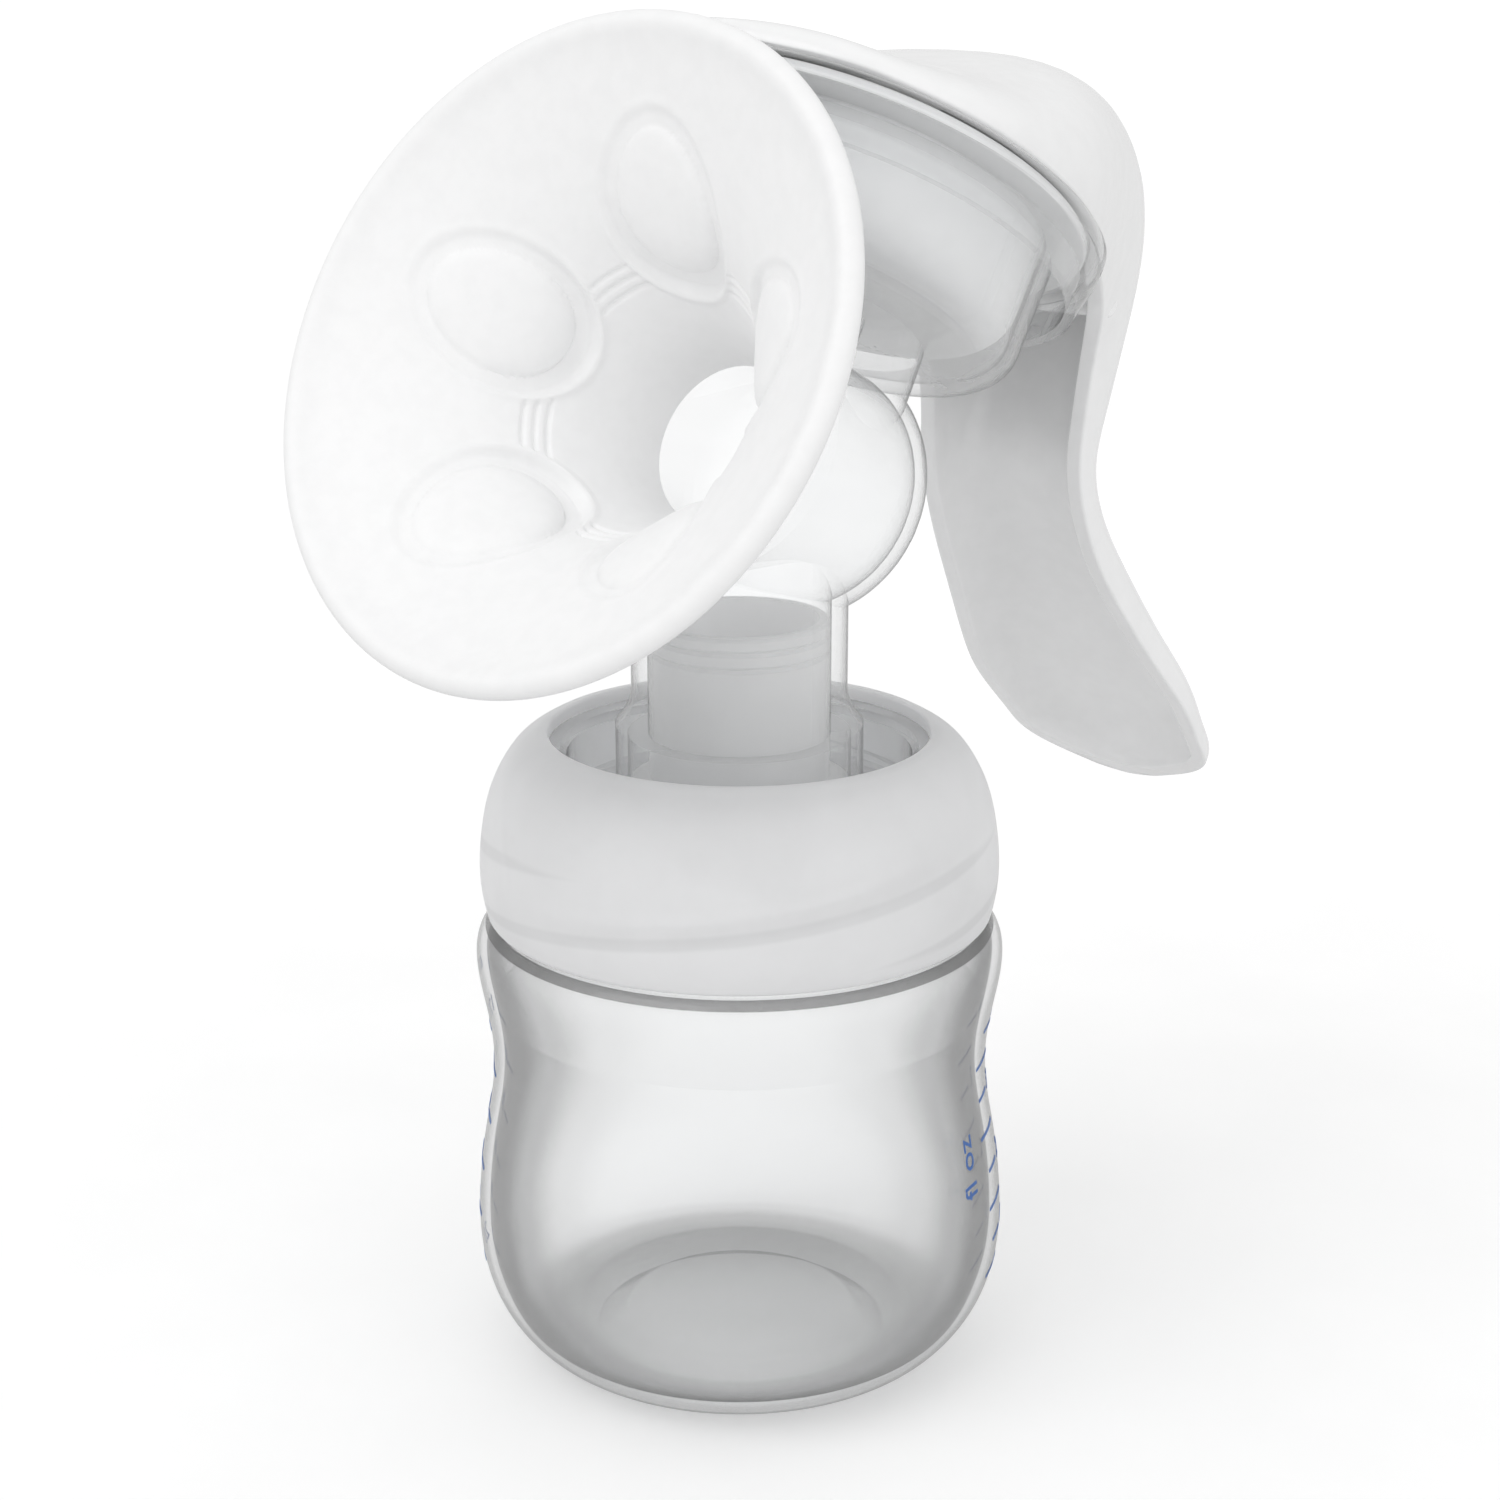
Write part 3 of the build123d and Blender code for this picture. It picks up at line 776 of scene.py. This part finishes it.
def arch(width, depth, lowest):
    """Points over a D-shaped section, from one side at the lowest height to the other."""
    start = math.asin(min(0.9, (lowest / max(depth, 1e-6)) ** (1 / SECTION_POWER)))
    points = []
    for t in np.linspace(start, math.pi - start, ARCH_STEPS + 1):
        c, s = math.cos(t), math.sin(t)
        points.append((math.copysign(width * abs(c) ** SECTION_POWER, c), depth * s ** SECTION_POWER))
    return points


def corner(x, reach, rise, steps=4):
    """A quarter round from the side of a wall onto the flat rim."""
    turns = np.linspace(0, math.pi / 2, steps + 1)[1:]
    return [(x - reach * (1 - math.cos(a)), rise * (1 - math.sin(a))) for a in turns]


def handle_section(width, depth, in_width, in_depth):
    """Closed loop round the wall of the shell: outer arch, rim, inner arch, rim."""
    r_out = min(RIM_ROUND, depth * 0.3, width * 0.3)
    outer = arch(width, depth, r_out)
    right = corner(width, r_out, r_out)
    if in_width < 0.7 or in_depth < 0.7:
        inner = [(0.0, 0.0)] * (ARCH_STEPS + 1)
        rim = [(0.0, 0.0)] * 4
        return [*right[::-1], *outer, *[(-x, n) for x, n in right], *rim, *inner, *rim]
    r_in = min(RIM_ROUND, in_depth * 0.3)
    inner = arch(in_width, in_depth, r_in)
    rim_right = [(in_width + r_in * (1 - math.cos(a)), r_in * (1 - math.sin(a)))
                 for a in np.linspace(0, math.pi / 2, 5)[1:]]
    rim_left = [(-x, n) for x, n in rim_right[::-1]]
    return [*right[::-1], *outer, *[(-x, n) for x, n in right], *rim_left, *inner[::-1], *rim_right]


def handle_shell():
    rows = handle_stations()
    s = chord(rows[:, :2])
    in_width = eroded(s, rows[:, 3], RIM_BAND)
    in_depth = np.minimum(eroded(s, rows[:, 4], 2.2), in_width * 4)
    verts = []
    for row, w_in, d_in in zip(rows, in_width, in_depth):
        y, z, lean, width, depth = row
        out_y, out_z = math.cos(math.radians(lean)), math.sin(math.radians(lean))
        for x, n in handle_section(width, depth, w_in, d_in):
            verts.append((x, y + n * out_y, z + n * out_z))
    per_row = len(verts) // len(rows)
    faces = grid_faces(len(rows), per_row, wrap_rows=False)
    faces.append(tuple(range(per_row))[::-1])
    faces.append(tuple(range((len(rows) - 1) * per_row, len(rows) * per_row)))
    return mesh_piece("shell", verts, faces, sharp=40)


def handle_bridge():
    """Cross plate with the slot for the stem's bar."""
    half = [(-8.5, 21.0), (-5.0, 25.0), (0.0, 28.0), (5.0, 28.9), (10.5, 28.9)]
    slot_half, slot_r, centre = 3.8, 2.7, 1.0
    outer, inner = [], []
    steps = 72
    for k in range(steps):
        a = FULL_TURN * k / steps
        c, q = math.cos(a), math.sin(a)
        inner.append((slot_r * c, centre + slot_r * q + math.copysign(slot_half, q) * (abs(q) > 1e-9)))
        reach = min(9.5 / max(abs(q), 1e-9), 40)
        x, y = reach * c, centre + reach * q
        limit = float(np.interp(y, [p[0] for p in half], [p[1] for p in half]))
        if abs(x) > limit:
            y = centre + (y - centre) * limit / abs(x)
            limit = float(np.interp(y, [p[0] for p in half], [p[1] for p in half]))
            x = math.copysign(limit, x)
        outer.append((x, y))
    verts = []
    for (xo, yo), (xi, yi) in zip(outer, inner):
        verts += [(xo, yo, 3.0), (xo, yo, 5.0), (xi, yi, 5.0), (xi, yi, 3.0)]
    return mesh_piece("bridge", verts, grid_faces(steps, 4), CUP, sharp=30)


def pivot_pin():
    place = Matrix.Translation(Vector((0, PIVOT[0], PIVOT[1])) * MM) @ Matrix.Rotation(math.pi / 2, 4, "Y")
    outline = rounded([(0, -17.4), (2.0, -17.4, 0.4), (2.0, 17.4, 0.4), (0, 17.4)])
    return lathe("pin", outline, 48, place=place)


handle = joined("handle_shell", [handle_shell(), handle_bridge(), pivot_pin()])
finish_piece(handle, "handle", "white_handle", HANDLE_WHITE)
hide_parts("handle")

# ---- CAD nodes that stay shown ----
dress("pump_body", BODY_CLEAR)
dress("white_valve", VALVE_MILKY)
dress("stem", STEM_WHITE)


# ---- floor, light and camera ----
FLOOR_SIZE = 3.0
FLOOR_DROP = 0.0002
FLOOR_GLOW = 0.17
SURROUND = 0.76
SEEN_WHITE = 1.05


def stage_floor():
    steps = 8
    places = [(k / steps - 0.5) * FLOOR_SIZE for k in range(steps + 1)]
    verts = [(x, y, 0) for x in places for y in places]
    mesh = bpy.data.meshes.new("floor")
    mesh.from_pydata(verts, [], grid_faces(steps + 1, steps + 1, wrap_rows=False, wrap_columns=False))
    floor = bpy.data.objects.new("floor", mesh)
    floor.location.z = -FLOOR_DROP
    bpy.context.scene.collection.objects.link(floor)
    mat, node, wire = new_material("floor_white")
    noise, bump = moulded_bump(node, wire, 30, 0.02)
    tone = ramp(node, [(0.3, 0.91), (0.7, 0.93)])
    skin = node("ShaderNodeBsdfPrincipled", Roughness=0.6)
    skin.inputs["Emission Color"].default_value = (1, 1, 1, 1)
    skin.inputs["Emission Strength"].default_value = FLOOR_GLOW
    dim = node("ShaderNodeBsdfDiffuse", Color=(0.8, 0.8, 0.8, 1))
    path = node("ShaderNodeLightPath")
    mix = node("ShaderNodeMixShader")
    out = node("ShaderNodeOutputMaterial")
    wire(noise.outputs["Fac"], tone.inputs["Fac"])
    wire(tone.outputs["Color"], skin.inputs["Base Color"])
    wire(bump.outputs["Normal"], skin.inputs["Normal"])
    wire(path.outputs["Is Camera Ray"], mix.inputs["Fac"])
    wire(dim.outputs["BSDF"], mix.inputs[1])
    wire(skin.outputs["BSDF"], mix.inputs[2])
    wire(mix.outputs["Shader"], out.inputs["Surface"])
    mesh.materials.append(mat)


def white_world():
    """Evenly bright surroundings, pure white where the camera looks past the object."""
    world = bpy.data.worlds.new("studio")
    bpy.context.scene.world = world
    world.use_nodes = True
    tree = world.node_tree
    tree.nodes.clear()
    seen = tree.nodes.new("ShaderNodeBackground")
    seen.inputs["Strength"].default_value = SEEN_WHITE
    light = tree.nodes.new("ShaderNodeBackground")
    light.inputs["Strength"].default_value = SURROUND
    path = tree.nodes.new("ShaderNodeLightPath")
    mix = tree.nodes.new("ShaderNodeMixShader")
    out = tree.nodes.new("ShaderNodeOutputWorld")
    for background in (seen, light):
        background.inputs["Color"].default_value = (1, 1, 1, 1)
    tree.links.new(path.outputs["Is Camera Ray"], mix.inputs["Fac"])
    tree.links.new(light.outputs["Background"], mix.inputs[1])
    tree.links.new(seen.outputs["Background"], mix.inputs[2])
    tree.links.new(mix.outputs["Shader"], out.inputs["Surface"])


def soft_sun(name, azimuth, elevation, spread, share):
    """A broad, soft directional light.

    The azimuth is measured as the camera's, in degrees; share is its part of full white."""
    a, e = math.radians(azimuth), math.radians(elevation)
    back = Vector((math.sin(a) * math.cos(e), -math.cos(a) * math.cos(e), math.sin(e)))
    data = bpy.data.lights.new(name, "SUN")
    data.angle = math.radians(spread)
    data.energy = share * math.pi
    lamp = bpy.data.objects.new(name, data)
    lamp.location = back
    lamp.rotation_euler = back.to_track_quat("Z", "Y").to_euler()
    bpy.context.scene.collection.objects.link(lamp)


CAMERA_AZIMUTH = math.radians(39)
CAMERA_ELEVATION = math.radians(17)
CAMERA_DISTANCE = 0.340
CAMERA_AIM_Z = 0.078
CAMERA_STEP = 0.0013
CAMERA_LENS = 66.5


def photo_camera():
    a, e = CAMERA_AZIMUTH, CAMERA_ELEVATION
    back = Vector((math.sin(a) * math.cos(e), -math.cos(a) * math.cos(e), math.sin(e)))
    right = Vector((math.cos(a), math.sin(a), 0))
    data = bpy.data.cameras.new("camera")
    data.lens = CAMERA_LENS
    data.sensor_width = 36
    data.clip_start = 0.01
    camera = bpy.data.objects.new("camera", data)
    camera.location = Vector((0, 0, CAMERA_AIM_Z)) + back * CAMERA_DISTANCE + right * CAMERA_STEP
    camera.rotation_euler = back.to_track_quat("Z", "Y").to_euler()
    bpy.context.scene.collection.objects.link(camera)
    bpy.context.scene.camera = camera


stage_floor()
white_world()
soft_sun("key", -12, 46, 45, 0.2)
soft_sun("fill", 70, 22, 60, 0.12)
photo_camera()

scene = bpy.context.scene
scene.view_settings.view_transform = "Standard"
scene.view_settings.look = "None"
scene.cycles.transparent_max_bounces = 32
scene.cycles.max_bounces = 10
